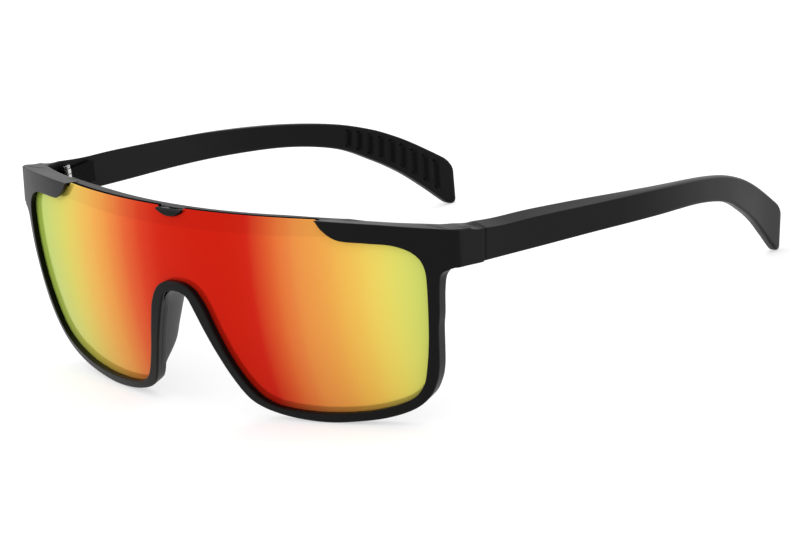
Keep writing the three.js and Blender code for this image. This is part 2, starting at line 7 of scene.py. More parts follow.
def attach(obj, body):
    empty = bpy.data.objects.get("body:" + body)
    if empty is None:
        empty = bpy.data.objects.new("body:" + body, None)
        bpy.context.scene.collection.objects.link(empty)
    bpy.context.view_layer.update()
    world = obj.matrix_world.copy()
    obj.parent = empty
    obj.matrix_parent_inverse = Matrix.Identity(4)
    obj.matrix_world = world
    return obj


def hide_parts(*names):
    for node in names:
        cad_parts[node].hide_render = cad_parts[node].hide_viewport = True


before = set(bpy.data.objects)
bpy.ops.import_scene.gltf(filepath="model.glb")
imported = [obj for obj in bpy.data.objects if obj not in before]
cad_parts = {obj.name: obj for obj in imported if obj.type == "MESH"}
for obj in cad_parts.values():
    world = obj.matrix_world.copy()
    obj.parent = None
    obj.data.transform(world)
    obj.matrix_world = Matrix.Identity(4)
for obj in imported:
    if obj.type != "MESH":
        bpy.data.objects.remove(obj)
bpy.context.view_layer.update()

# Front frame: rim and hoods
# One injection-moulded nylon piece, matt black. The rim grips the lens in a groove all round, and
# at the two upper corners it widens into a hood that stands in front of the lens.
MM = 0.001  # all sizes but the room's are written in millimetres
HALF_WIDTH, HEIGHT = 71.5, 52.0
FRONT_SIZE = (HALF_WIDTH, HEIGHT)
PLACE = np.array([0, -78.505, 0.0445])  # from the front's own centre to the middle of the footprint
MIRROR = np.array([-1, 1, 1])
NESTED = 0.05  # how far one shell of a piece lies under the next where they overlap
SLIVER = 0.01  # the least width of a section that runs out to nothing
SHARP_ANGLE = 30  # degrees; a fold above this is drawn as an edge

WRAP_RADIUS = 133.0  # of the face, seen from above
FACE_LEAN, FACE_SWELL, SWELL_SHARE = 3.1, 2.75, 0.54  # it swells most at this share of the height
SIDE_RECESS, TOP_RECESS = 1.75, 1.2  # how deep the lens lies at its sides and at its top's middle
FULLER_FROM, FULLER_TO, FULLER_HALF_WIDTH = 30.0, 50.0, 58.0  # heights, and half a width
LENS_THICKNESS, TUCK, FIT = 1.2, 0.8, 0.15  # the lens runs into its groove by TUCK, with FIT around it

SIDE_X, CORNER_TOP, CORNER_DEPTH = 72.9, 48.7, 9.0  # the corner: its side, its top and its height
CORNER_START, CORNER_ROUND = 70.7, 1.9
ROLL_FROM = 71.0  # from here outwards the rim sinks under the endpiece, by NESTED
END_LENGTH = 10.4  # of the endpiece, from the corner to the joint
TOP_FALL, FALL_LEAD, FALL_WIDTH = 0.9, 1.7, 2.0  # the fall along the top's outer edge, at the joint
HOOD_SLOPE, HOOD_STEEPER = 0.9, 0.4  # how far the hood's top falls to the rear
STEEPER_TO, STEEPER_END = 55.0, 66.0  # how far out it is steeper, and where that has faded
HOOD_FROM_X, HOOD_FROM_Z = 60.0, 44.0  # what lies out and up from here stays under the hood's top
HOOD_GAP, INNER_LOWER = 0.02, 0.3  # how far under it, and how much more along the lens

RIM_DEPTH, BAR_DEPTH = 4.2, 6.6
RIM_TAPER = 0.9  # how far the rim's outside draws in to the rear
DEEPER_FROM_SHARE, DEEPER_TO_SHARE = 0.76, 0.88  # of the height, where the rim deepens to the bar
LIP_WIDTH, LIP_CHAMFER = 0.7, 0.3
LIP_DEPTH_SHARE, GROOVE_DEPTH_SHARE = 0.5, 0.9  # at most, of the rim's depth
RIM_RADII = [0.35, 0.5, 0.6, 0.45, 0.12, 0.1, 0.1, 0.12]
HOOD_SHARPER, SIDE_RADIUS = 0.2, 0.03  # the outer edge is sharper on the hood and at the side
TOP_TOLERANCE = 0.2  # what lies no further than this under CORNER_TOP counts as the hood's top

OPENING_SHARES = [
    (0.579, 1), (0.603, 0.95), (0.656, 0.903), (0.746, 0.889), (0.831, 0.875), (0.892, 0.834),
    (0.92, 0.765), (0.921, 0.64), (0.906, 0.452), (0.879, 0.29), (0.847, 0.187), (0.785, 0.12),
    (0.655, 0.069), (0.493, 0.05), (0.352, 0.062), (0.282, 0.094), (0.234, 0.16), (0.186, 0.288),
    (0.149, 0.427), (0.121, 0.538), (0.087, 0.612), (0.045, 0.648), (0, 0.656),
]
RIM_SHARES = [
    (0.978, 0.752), (0.963, 0.722), (0.956, 0.65), (0.948, 0.548), (0.938, 0.477),
    (0.926, 0.365), (0.914, 0.282), (0.895, 0.21), (0.862, 0.14), (0.802, 0.078), (0.706, 0.033),
    (0.592, 0.009), (0.493, 0), (0.394, 0.01), (0.317, 0.031), (0.256, 0.062), (0.214, 0.108),
    (0.175, 0.202), (0.139, 0.313), (0.107, 0.419), (0.077, 0.519), (0.054, 0.581),
    (0.028, 0.602), (0, 0.608),
]
HOOD_TOP_SHARES = [
    (0.58, 0.995), (0.685, 0.9855), (0.79, 0.974), (0.895, 0.957),
    (SIDE_X / HALF_WIDTH, CORNER_TOP / HEIGHT),
]
CORNER_CUT, SIDE_END = 0.4, 0.5  # how far the side's straight stops short of its top and its foot
SIDE_TURN = [(0.35, 0.1), (1.3, -0.1)]  # from the side's foot, inwards and up, where it turns under
# Points of the outside and of the opening that the same section joins
OUTSIDE_MARKS = [
    (HOOD_TOP_SHARES[2][0] * HALF_WIDTH, CORNER_TOP * 1.04), (SIDE_X, CORNER_TOP),
    (SIDE_X, CORNER_TOP - CORNER_DEPTH), (68.35, 33.8),
]
OPENING_MARKS = [(53.3, 46.2), (63.4, 43.9), (65.8, 38.2), (65.9, 33.4)]


def spline(points, count):
    """A Catmull-Rom curve: between two points a cubic whose end slopes are half the chord between
    each point's neighbours, sampled at even steps."""
    points = np.asarray(points, float)
    t = np.linspace(0, len(points) - 1, count)
    span = np.clip(t.astype(int), 0, len(points) - 2)
    f = (t - span)[:, None]
    a, b, c, d = (points[np.clip(span + k, 0, len(points) - 1)] for k in (-1, 0, 1, 2))
    s, e = (c - a) / 2, (d - b) / 2
    return (2 * b - 2 * c + s + e) * f**3 + (3 * c - 3 * b - 2 * s - e) * f**2 + s * f + b


def smooth(x, low, high):
    """0 below low, 1 above high, and 3t^2 - 2t^3 between."""
    t = np.clip((x - low) / (high - low), 0, 1)
    return t * t * (3 - 2 * t)


def length_along(line):
    """The line's length from its start to each of its points: the running sum of its steps."""
    return np.r_[0, np.cumsum(np.linalg.norm(np.diff(line, axis=0), axis=1))]


def even_steps(line, count):
    """The same line, with count points at even steps of its length."""
    length = length_along(line)
    at = np.linspace(0, length[-1], count)
    return np.stack([np.interp(at, length, line[:, k]) for k in range(line.shape[1])], 1)


def evened(values, reach):
    """The mean of each value and its neighbours, reach of them on both sides."""
    window = np.ones(2 * reach + 1) / (2 * reach + 1)
    return np.convolve(values, window, "valid")


def nearest(line, point):
    """The number of the line's point that lies nearest."""
    return int(np.argmin(np.linalg.norm(line - np.array(point), axis=1)))


def front_y(x, z):
    """The front's curved face: a circle in plan, leaning back to its foot, less a parabola in
    height that swells it forwards."""
    height = z / HEIGHT
    wrap = WRAP_RADIUS - np.sqrt(WRAP_RADIUS**2 - x**2)
    swell = FACE_SWELL * (1 - ((height - SWELL_SHARE) / (1 - SWELL_SHARE)) ** 2)
    return wrap + FACE_LEAN * (1 - height) - swell


def recess(x, z):
    """How deep the lens's face lies behind the front's face: SIDE_RECESS all round, and down to
    TOP_RECESS at the middle of the top edge, by a parabola across and a smooth step in height."""
    fuller = smooth(z, FULLER_FROM, FULLER_TO) * np.clip(1 - (x / FULLER_HALF_WIDTH) ** 2, 0, 1)
    return SIDE_RECESS - (SIDE_RECESS - TOP_RECESS) * fuller


def hood_line(count):
    """The hood's front top edge, from its inner end to the corner."""
    return spline(np.array(HOOD_TOP_SHARES) * FRONT_SIZE, count)


def hood_top(x):
    """The height of the hood's front top edge, which falls towards the corner."""
    line = hood_line(90)
    return np.interp(np.abs(x), line[:, 0], line[:, 1])


def hood_fall(x, deep):
    """How far the hood's top has fallen at a depth behind the face: evenly with depth, by
    HOOD_SLOPE at the bar's depth, and by HOOD_STEEPER more away from the corner."""
    steeper = HOOD_STEEPER * (1 - smooth(np.abs(x), STEEPER_TO, STEEPER_END))
    return (HOOD_SLOPE + steeper) * deep / BAR_DEPTH


def edge_fall(deep):
    """How far the top's outer edge has fallen at a depth behind the corner: evenly, from FALL_LEAD
    in front of the corner up to TOP_FALL at the joint."""
    return TOP_FALL * (deep + FALL_LEAD) / (END_LENGTH + FALL_LEAD)


def corner_roll(x):
    """How far the face turns back at the corner: a quarter ellipse from CORNER_START to SIDE_X."""
    t = np.clip((np.abs(x) - CORNER_START) / (SIDE_X - CORNER_START), 0, 1)
    return CORNER_ROUND * (1 - np.sqrt(1 - t**2))


def section_of(*corners):
    """Sections, one at each station, from pairs of values or of lines: (stations, corners, 2)."""
    return np.stack([np.stack(np.broadcast_arrays(*corner), 1) for corner in corners], 1)


def rounded(corners, radii, steps=5):
    """A closed section with each corner turned into an arc: the curve from one side to the other,
    radius away from the corner, that the corner pulls at. One more point on each side of an arc
    keeps the flat beside it flat. corners is (stations, corners, 2)."""
    longest_share, beside = 0.42, 1.18  # of a side, and of the radius
    before = np.roll(corners, 1, 1) - corners
    after = np.roll(corners, -1, 1) - corners
    long_before = np.linalg.norm(before, axis=2, keepdims=True) + 1e-9
    long_after = np.linalg.norm(after, axis=2, keepdims=True) + 1e-9
    r = np.broadcast_to(np.asarray(radii, float), corners.shape[:2])[..., None]
    r = np.minimum(r, longest_share * np.minimum(long_before, long_after))
    start, end = corners + before / long_before * r, corners + after / long_after * r
    t = np.linspace(0, 1, steps)
    points = [corners + before / long_before * r * beside]
    points += [(1 - u) ** 2 * start + 2 * u * (1 - u) * corners + u * u * end for u in t]
    points += [corners + after / long_after * r * beside]
    return np.stack(points, 2).reshape(len(corners), -1, 2)


def subdivided(section, corner, count, steps=5):
    """The rounded section, with count more points on the straight that follows one corner."""
    t = np.linspace(0, 1, count + 2)[1:-1, None]
    last = (corner + 1) * (steps + 2) - 1
    a, b = section[:, last][:, None], section[:, (last + 1) % section.shape[1]][:, None]
    return np.concatenate([section[:, : last + 1], a + (b - a) * t, section[:, last + 1 :]], 1)


def tube_faces(stations, around, start):
    """Quads between rings of points, closed round each ring, with a flat face at both ends."""
    s, k = np.meshgrid(np.arange(stations - 1), np.arange(around), indexing="ij")
    a, b = s * around + k, s * around + (k + 1) % around
    quads = np.stack([a, b, b + around, a + around], 2).reshape(-1, 4) + start
    end_rings = (start, start + (stations - 1) * around)
    return quads.tolist() + [list(range(ring, ring + around)) for ring in end_rings]


def build(name, tubes, body, node, materials):
    """One mesh of the tubes, each (stations, points around, 3) in millimetres, as one piece that
    stands for its node and moves with its body."""
    verts, faces = [], []
    for tube in tubes:
        faces += tube_faces(tube.shape[0], tube.shape[1], sum(len(v) for v in verts))
        verts.append(tube.reshape(-1, 3))
    mesh = bpy.data.meshes.new(name)
    mesh.from_pydata((np.concatenate(verts) + PLACE) * MM, [], faces)
    shape = bmesh.new()
    shape.from_mesh(mesh)
    bmesh.ops.remove_doubles(shape, verts=shape.verts, dist=MM * MM)
    bmesh.ops.recalc_face_normals(shape, faces=shape.faces)
    shape.to_mesh(mesh)
    shape.free()
    mesh.polygons.foreach_set("use_smooth", np.ones(len(mesh.polygons), bool))
    mesh.set_sharp_from_angle(angle=np.radians(SHARP_ANGLE))
    piece = bpy.data.objects.new(name, mesh)
    bpy.context.scene.collection.objects.link(piece)
    for material in materials:
        mesh.materials.append(material)
    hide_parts(node)
    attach(piece, body)
    return piece


def with_mirror(half):
    """A half path of sections and its mirror image, joined in the middle."""
    return np.concatenate([half, (half * MIRROR)[::-1][1:]])


def rim_lines(count):
    """The opening's line and the outside line, point against point: by share of length between
    the marks along the hood, by the nearest point along the rim, and then evened."""
    opening = even_steps(spline(np.array(OPENING_SHARES) * FRONT_SIZE, 1200), 2400)
    hood = hood_line(200)
    below = opening[:, 1] < np.interp(opening[:, 0], hood[:, 0], hood[:, 1])
    opening = opening[np.argmax(below):]
    hood = hood[hood[:, 0] > opening[0, 0] + NESTED]
    edge, foot = SIDE_X - NESTED, CORNER_TOP - CORNER_DEPTH
    top = hood[hood[:, 0] < edge - CORNER_CUT] - (0, NESTED)
    side = np.linspace((edge, CORNER_TOP - CORNER_CUT), (edge, foot + SIDE_END), 12)
    under = [(SIDE_X - inwards, foot + up) for inwards, up in SIDE_TURN]
    rim = spline(np.array(RIM_SHARES) * FRONT_SIZE, 600)
    outside = even_steps(np.concatenate([opening[:1], top, side, under, rim]), count)
    length = length_along(outside)
    place = np.argmin(np.linalg.norm(opening[None] - outside[:, None], axis=2), 1).astype(float)
    marks = [0] + [nearest(outside, point) for point in OUTSIDE_MARKS]
    matched = [0] + [nearest(opening, point) for point in OPENING_MARKS]
    hood_end = marks[-1]
    place[:hood_end] = np.interp(length[:hood_end], length[marks], matched)
    place = np.maximum.accumulate(place)
    place[10:-10] = evened(place, 10)
    place[0], place[-1] = 0, len(opening) - 1
    numbers = np.arange(len(opening))
    picked = np.stack([np.interp(place, numbers, opening[:, k]) for k in (0, 1)], 1)
    return picked, outside


def rim_sections(count):
    """The rim carried along its path. A section is drawn in a, from the opening's line outwards,
    and d, from the face to the rear: the face, the outside that draws in towards the rear, the
    rear face and the lens groove. Over the hood its outer end falls with depth, and its whole top
    stays under the hood's and the endpiece's."""
    inner, outer = rim_lines(count)
    across = outer - inner
    across[0] = (0, SLIVER)  # at the hood's inner end both lines start from one point
    width = np.linalg.norm(across, axis=1)
    across /= width[:, None]
    deeper = smooth(outer[:, 1] / HEIGHT, DEEPER_FROM_SHARE, DEEPER_TO_SHARE)
    depth = RIM_DEPTH + (BAR_DEPTH - RIM_DEPTH) * deeper
    on_top = (outer[:, 1] > CORNER_TOP - TOP_TOLERANCE).astype(float)
    taper = RIM_TAPER * (1 - on_top)
    rear = depth * np.clip(width / HOOD_SLOPE, 2 * SLIVER, 1)
    groove = np.clip(width - LIP_WIDTH, 2 * SLIVER, TUCK + FIT)
    lens_face = recess(inner[:, 0], inner[:, 1])
    lip = np.minimum(lens_face - FIT, rear * LIP_DEPTH_SHARE)
    lip_edge = np.minimum(LIP_CHAMFER * on_top, groove / 2)
    floor = np.minimum(lens_face + LENS_THICKNESS + FIT, rear * GROOVE_DEPTH_SHARE)
    zero = np.zeros(count)
    section = section_of(
        (zero, 0), (width, 0), (np.maximum(width - taper, SLIVER), rear), (0, rear),
        (0, floor), (groove, floor), (groove, lip), (lip_edge, lip),
    )
    side = (outer[:, 0] > SIDE_X - NESTED - SLIVER).astype(float)
    side = evened(np.pad(side, 3, "edge"), 3)
    radii = np.tile(RIM_RADII, (count, 1))
    radii[:, 1] = (RIM_RADII[1] - HOOD_SHARPER * on_top) * (1 - side) + SIDE_RADIUS
    section = rounded(section, radii)
    section = subdivided(section, 1, 3)
    section = subdivided(section, 0, 14)
    a, d = section[..., 0], section[..., 1]
    x = inner[:, :1] + across[:, :1] * a
    z = inner[:, 1:] + across[:, 1:] * a
    on_top, width = on_top[:, None], width[:, None]
    fallen = hood_fall(x, d)
    z -= on_top * fallen * a / width
    at_edge = np.clip((x - SIDE_X + FALL_WIDTH) / FALL_WIDTH, 0, 1)
    ceiling = hood_top(x) - fallen - edge_fall(d) * at_edge - HOOD_GAP
    ceiling -= INNER_LOWER * on_top * (1 - a / width)
    held = ((on_top > 0) | (x > HOOD_FROM_X)) & (z > HOOD_FROM_Z)
    z = np.where(held, np.minimum(z, ceiling), z)
    roll = (corner_roll(x) + NESTED * smooth(x, ROLL_FROM, SIDE_X)) * (1 - d / depth[:, None])
    return np.stack([x, front_y(x, z) + d + roll, z], 2)


def shader(name, colour, roughness, metallic=0.0, specular=0.5):
    """A material with one Principled shader, its constant values on its own sockets."""
    material = bpy.data.materials.new(name)
    material.use_nodes = True
    nodes, links = material.node_tree.nodes, material.node_tree.links
    surface = nodes["Principled BSDF"]
    surface.inputs["Base Color"].default_value = (*colour, 1)
    surface.inputs["Roughness"].default_value = roughness
    surface.inputs["Metallic"].default_value = metallic
    surface.inputs["Specular IOR Level"].default_value = specular
    return material, nodes, links, surface


def uneven_gloss(nodes, links, surface, place, scale, detail, smoothest, roughest):
    """Roughness that wanders between two values as a noise of the given scale does."""
    noise = nodes.new("ShaderNodeTexNoise")
    noise.inputs["Scale"].default_value = scale
    noise.inputs["Detail"].default_value = detail
    gloss = nodes.new("ShaderNodeMapRange")
    gloss.inputs["To Min"].default_value = smoothest
    gloss.inputs["To Max"].default_value = roughest
    links.new(place, noise.inputs["Vector"])
    links.new(noise.outputs["Fac"], gloss.inputs["Value"])
    links.new(gloss.outputs["Result"], surface.inputs["Roughness"])


def moulded_nylon(name):
    """Matt black nylon: the fine even grain of a textured mould, and a slow mottle in its gloss."""
    material, nodes, links, surface = shader(name, (0.003, 0.003, 0.0031), 0.4, specular=0.1)
    place = nodes.new("ShaderNodeTexCoord").outputs["Object"]
    grain = nodes.new("ShaderNodeTexNoise")
    grain.inputs["Scale"].default_value = 4200
    grain.inputs["Detail"].default_value = 2
    bump = nodes.new("ShaderNodeBump")
    bump.inputs["Strength"].default_value = 0.12
    bump.inputs["Distance"].default_value = 0.04 * MM
    links.new(place, grain.inputs["Vector"])
    links.new(grain.outputs["Fac"], bump.inputs["Height"])
    links.new(bump.outputs["Normal"], surface.inputs["Normal"])
    uneven_gloss(nodes, links, surface, place, 90, 3, 0.34, 0.42)
    return material


rim = with_mirror(rim_sections(420))

# Front frame: brow bar and tab
# Moulded in one with the rim. The bar runs behind the lens's top edge from hood to hood, and the
# small tab hangs over that edge in the middle, in a notch of the lens.
BAR_TOP, BAR_HEIGHT, BAR_HALF_LENGTH, BAR_FACE = 51.25, 3.65, 56.0, 3.6
BAR_SLOPE, BAR_FACE_SHARE = 0.35, 0.45  # its top falls to the rear, and by a share at its face
BAR_FALL, BAR_FALL_FROM, BAR_FALL_TO = 0.45, 28.0, 46.0
BAR_END_SLOPE = 0.13  # from BAR_FALL_TO outwards
BAR_THINNER, THINNER_FROM = 0.25, 40.0
BAR_RADII = [0.3, 0.5, 0.5, 0.2]
TAB_HALF_WIDTH, TAB_FOOT, TAB_TOP, TAB_FACE, TAB_REAR = 4.1, 50.0, 51.9, 0.2, 4.5
TAB_SPREAD = 4.9  # where the curve of its foot would reach the lens's top edge
TAB_THINNER, TAB_THINNER_FROM, TAB_THINNER_TO = 2.9, 2.9, 3.9
TAB_REAR_TOP = BAR_TOP - 1.0
TAB_CHAMFER = (0.4, 0.5)  # back and down, along the top of its face
TAB_RADII = [0.15, 0.1, 0.1, 0.4, 0.3]


def behind_face(x, section, face_height):
    """Sections of depth and height, each at its place across, set behind the front's face as it
    is at face_height."""
    depth, z = section[..., 0], section[..., 1]
    x = np.broadcast_to(x[:, None], z.shape)
    return np.stack([x, front_y(x, face_height) + depth, z], 2)


def brow_bar():
    """A four-cornered section carried across the front, behind its face. Its top falls by a smooth
    step towards the hoods and then evenly, and its rear draws in a little by a smooth step."""
    x = np.linspace(-BAR_HALF_LENGTH, BAR_HALF_LENGTH, 160)
    out = np.abs(x)
    top = BAR_TOP - BAR_FALL * smooth(out, BAR_FALL_FROM, BAR_FALL_TO)
    top -= BAR_END_SLOPE * np.maximum(out - BAR_FALL_TO, 0)
    foot = np.full_like(x, BAR_TOP - BAR_HEIGHT)
    rear = BAR_DEPTH - BAR_THINNER * smooth(out, THINNER_FROM, BAR_FALL_TO)
    section = rounded(section_of(
        (BAR_FACE, foot), (rear, foot),
        (rear, top - BAR_SLOPE), (BAR_FACE, top - BAR_SLOPE * BAR_FACE_SHARE),
    ), BAR_RADII)
    return behind_face(x, section, section[..., 1])


def centre_tab():
    """A five-cornered section carried across the middle, behind the front's face. Its foot is a
    parabola, its face has a chamfer along the top, its top falls to the rear, and it is thinner
    towards both ends by a smooth step."""
    x = np.linspace(-TAB_HALF_WIDTH, TAB_HALF_WIDTH, 47)
    foot = TAB_FOOT + (HEIGHT - TAB_FOOT) * (x / TAB_SPREAD) ** 2
    rear = TAB_REAR - TAB_THINNER * smooth(np.abs(x), TAB_THINNER_FROM, TAB_THINNER_TO)
    back, down = TAB_CHAMFER
    section = rounded(section_of(
        (TAB_FACE, foot), (rear, foot),
        (rear, np.maximum(foot + 4 * SLIVER, TAB_REAR_TOP)),
        (TAB_FACE + back, np.maximum(foot + 6 * SLIVER, TAB_TOP)),
        (TAB_FACE, np.maximum(foot + 2 * SLIVER, TAB_TOP - down)),
    ), TAB_RADII)
    return behind_face(x, section, HEIGHT - 1)


# Front frame: nose pads
# Moulded in one with the nose edge of the rim. Each is a thin blade that runs back and outwards
# to lie along the side of the nose.
PAD_LINE_SHARES = [
    (0.018, 0.604), (0.05, 0.574), (0.077, 0.519), (0.107, 0.419), (0.139, 0.313),
    (0.175, 0.202), (0.21, 0.118),
]
PAD_REACH_SHARES = [0.45, 0.83, 0.96, 1, 0.96, 0.86, 0.74, 0.36, 0.24]
PAD_DEPTH, PAD_THICKNESS, PAD_ROOT = 14.7, 2.2, 1.2
ROOT_INSIDE, ROOT_STEP, STEP_TO = 0.07, 0.13, 1.8  # its root lies just inside the rim's edge
PAD_FLARE, FLARE_FROM, FLARE_LENGTH, FLARE_POWER = 2.2, 3.0, 11.0, 1.3


def nose_pad():
    """A blade that stands back from a curve down the nose edge. Its reach follows a second curve.
    It thins by half to its rear edge as the fourth power of the run, and closes there as the root
    of 1 less the eighth power; outwards it leans as the rim does, and further by a power of depth."""
    rows, columns = 56, 26
    line = spline(np.array(PAD_LINE_SHARES) * FRONT_SIZE, rows)
    reach = spline([(share, 0) for share in PAD_REACH_SHARES], rows)[:, :1] * PAD_DEPTH
    run = np.sin(np.linspace(0, np.pi / 2, columns))
    run = np.r_[run, run[::-1][1:-1]]
    outer_face = np.r_[np.zeros(columns), np.ones(columns - 2)]
    deep = PAD_ROOT + (reach - PAD_ROOT) * run
    way = np.gradient(line, axis=0)
    way /= np.linalg.norm(way, axis=1)[:, None]
    seat = RIM_TAPER * np.minimum(deep, RIM_DEPTH) / RIM_DEPTH
    seat += ROOT_INSIDE - ROOT_STEP * smooth(deep, PAD_ROOT, STEP_TO)
    flare = RIM_TAPER * np.maximum(deep - RIM_DEPTH, 0) / RIM_DEPTH
    flare += PAD_FLARE * np.clip((deep - FLARE_FROM) / FLARE_LENGTH, 0, 1) ** FLARE_POWER
    thick = PAD_THICKNESS * (1 - run**4 / 2)
    off = thick * (0.5 + (outer_face - 0.5) * np.sqrt(1 - run**8))
    x = line[:, :1] - way[:, 1:] * seat + flare + off
    z = line[:, 1:] + way[:, :1] * seat
    return np.stack([x, front_y(line[:, :1], z) + deep, z], 2)


# Front frame: endpieces
# Moulded in one with the hoods. Each turns the corner to its temple and carries the front half of
# the hinge inside.
JOINT_TOP, JOINT_HEIGHT = 47.1, 8.5
JOINT_LEAN = 0.17  # how far the joint's faces run forwards for each millimetre down
JOINT_BEVEL, BEVEL_LENGTH = 0.08, 0.2
TEMPLE_THICKNESS, INNER_RISE, CROWN_SHARE = 4.3, 0.4, 0.7  # the top rises to its inner edge
INNER_X = SIDE_X - TEMPLE_THICKNESS
END_START, UNDER_STEP = 0.15, 0.25
BRACE, BRACE_LENGTH, BRACE_POWER = 5.0, 9.5, 1.6  # the inner side thickens towards the corner
RISE_SHARES, LEVEL_SHARES, LEAN_SHARES = (0.4, 0.9), (0.45, 1), (0.2, 1)  # of its length
STRAIGHT_START, STRAIGHT_END, BEVEL_STEPS = 2.1, 0.3, (0.13, 0.03)  # the last two from the joint
END_RADII = [0.5, 0.45, 0.25, 0.8, 0.8, 0.4]
CORNER_Y = front_y(HALF_WIDTH, CORNER_TOP)
JOINT_Y = CORNER_Y + END_LENGTH


def endpiece():
    """A six-cornered section carried from the corner back to the joint. Its outside turns the
    corner on a quarter ellipse, its inside draws in from a thick brace by a power of depth, its
    underside falls evenly, and its top passes by a smooth step from the hood's to the joint's."""
    run = END_LENGTH - END_START
    deep = END_START + np.r_[
        (CORNER_ROUND - END_START) * (1 - np.cos(np.linspace(0, np.pi / 2, 12))),
        np.linspace(STRAIGHT_START, run - STRAIGHT_END, 26), run - np.array(BEVEL_STEPS), run,
    ]
    share = deep / END_LENGTH
    corner_foot = CORNER_TOP - CORNER_DEPTH
    under = corner_foot + (JOINT_TOP - JOINT_HEIGHT - UNDER_STEP - corner_foot) * share
    behind = np.clip(1 - deep / CORNER_ROUND, 0, 1)
    outside = SIDE_X - (SIDE_X - CORNER_START) * (1 - np.sqrt(1 - behind**2))
    inside = INNER_X - BRACE * np.clip(1 - deep / BRACE_LENGTH, 0, 1) ** BRACE_POWER
    rise = INNER_RISE * smooth(share, *RISE_SHARES)
    bevel = JOINT_BEVEL * smooth(deep, END_LENGTH - BEVEL_LENGTH, END_LENGTH)
    section = section_of(
        (inside + bevel, under + bevel), (outside - bevel, under + bevel),
        (outside - bevel, -edge_fall(deep) - bevel),
        (outside - FALL_WIDTH, -CROWN_SHARE * rise - bevel),
        ((outside - FALL_WIDTH + inside) / 2, rise / 2 - bevel),
        (inside + bevel, rise - bevel),
    )
    deep, share = deep[:, None], share[:, None]
    top_x = section[:, 2:, 0]
    behind_hood = CORNER_Y + deep - front_y(top_x, CORNER_TOP)
    level = smooth(share, *LEVEL_SHARES)
    hood_side = hood_top(top_x) - hood_fall(top_x, behind_hood)
    section[:, 2:, 1] += hood_side * (1 - level) + JOINT_TOP * level
    section = rounded(section, END_RADII)
    x, z = section[..., 0], section[..., 1]
    y = CORNER_Y + deep + (front_y(HALF_WIDTH, z) - CORNER_Y) * (1 - share)
    y -= JOINT_LEAN * (JOINT_TOP - z) * smooth(share, *LEAN_SHARES)
    return np.stack([x, y, z], 2)


pad, end = nose_pad(), endpiece()
build(
    "front_frame_body", [rim, brow_bar(), centre_tab(), pad, pad * MIRROR, end, end * MIRROR],
    "front", "front_frame", [moulded_nylon("frame_nylon")],
)

# Lens
# One curved polycarbonate shield with a mirror coating on its face, cut out over the nose. It is
# sprung into the rim's groove, and its top edge stands bare in front of the brow bar.
GAP = 0.3  # between the tab and the notch, half of it below the tab
TOP_BOW, BOW_AT = 0.45, 40.0  # the top edge falls by a parabola, by TOP_BOW at BOW_AT
UNDER_HOOD, UNDER_FROM, UNDER_TO = 1.1, 40.2, 42.2  # and further where it runs under the hood
LENS_BEVEL, BEVEL_SHARE = 0.12, 0.3  # the share is of the lens's height, where that is small
FRONT_ROWS, REAR_ROWS, LENS_COLUMNS = 50, 26, 420
MIRROR_FACING, SMOKE_FACING = -0.2, 0.6  # the share of a face's normal that points to the rear
COLOUR_REACH = 67.5
MIRROR_COLOURS = [
    (-64, (0.44, 0.60, 0.09)), (-56, (0.53, 0.60, 0.11)), (-46, (0.67, 0.60, 0.10)),
    (-38, (0.77, 0.51, 0.09)), (-31, (0.82, 0.40, 0.075)), (-25, (0.80, 0.29, 0.057)),
    (-19, (0.76, 0.16, 0.040)), (-13, (0.70, 0.072, 0.022)), (-7, (0.64, 0.030, 0.011)),
    (0, (0.60, 0.018, 0.007)), (20, (0.60, 0.018, 0.007)), (24, (0.64, 0.040, 0.015)),
    (30, (0.75, 0.15, 0.037)), (35, (0.81, 0.27, 0.062)), (44, (0.86, 0.42, 0.080)),
    (51, (0.87, 0.58, 0.105)), (57, (0.80, 0.70, 0.135)), (64, (0.64, 0.70, 0.150)),
]


def shield_edges():
    """Where the lens's upright sections stand, and the heights of its lower and upper edge there:
    the rim's opening moved out by TUCK. The upper edge is held under a parabola that bows it down,
    less a smooth step under the hoods, and in the middle under the tab's parabola."""
    opening = spline(np.array(OPENING_SHARES) * FRONT_SIZE, 1600)
    step = np.gradient(opening, axis=0)
    step /= np.linalg.norm(step, axis=1)[:, None]
    line = opening + TUCK * np.stack([-step[:, 1], step[:, 0]], 1)
    line[-1, 0] = 0
    widest = int(np.argmax(line[:, 0]))
    x = line[widest, 0] * np.sin(np.linspace(-np.pi / 2, np.pi / 2, LENS_COLUMNS))
    out = np.abs(x)
    upper, lower = line[: widest + 1], line[widest:][::-1]
    low = np.interp(out, lower[:, 0], lower[:, 1])
    high = np.interp(out, upper[:, 0], np.minimum(upper[:, 1], HEIGHT))
    notch_foot = TAB_FOOT - GAP / 2
    notch = notch_foot + (HEIGHT - notch_foot) * (x / (TAB_SPREAD + GAP)) ** 2
    high = np.where(out < TAB_HALF_WIDTH + GAP / 2, np.minimum(high, notch), high)
    bowed = HEIGHT - TOP_BOW * (x / BOW_AT) ** 2
    under_hood = UNDER_HOOD * smooth(out, UNDER_FROM, UNDER_TO) ** 2
    return x, low, np.maximum(np.minimum(high, bowed - under_hood), low + SLIVER)


def shield_sections():
    """The lens as upright sections, each up its face and down its rear, with a bevel along both
    edges. Its face lies behind the front's by the recess."""
    x, low, high = (values[:, None] for values in shield_edges())
    inset = np.minimum(LENS_BEVEL, (high - low) * BEVEL_SHARE)
    foot, span = low + inset, high - low - 2 * inset
    z = np.concatenate([
        foot + span * np.linspace(0, 1, FRONT_ROWS), high, high,
        foot + span * np.linspace(1, 0, REAR_ROWS), low, low,
    ], 1)
    edge = np.array([LENS_BEVEL, LENS_THICKNESS - LENS_BEVEL])
    deep = np.r_[np.zeros(FRONT_ROWS), edge, np.full(REAR_ROWS, LENS_THICKNESS), edge[::-1]]
    return behind_face(x[:, 0], np.stack([recess(x, z) + deep, z], 2), z)


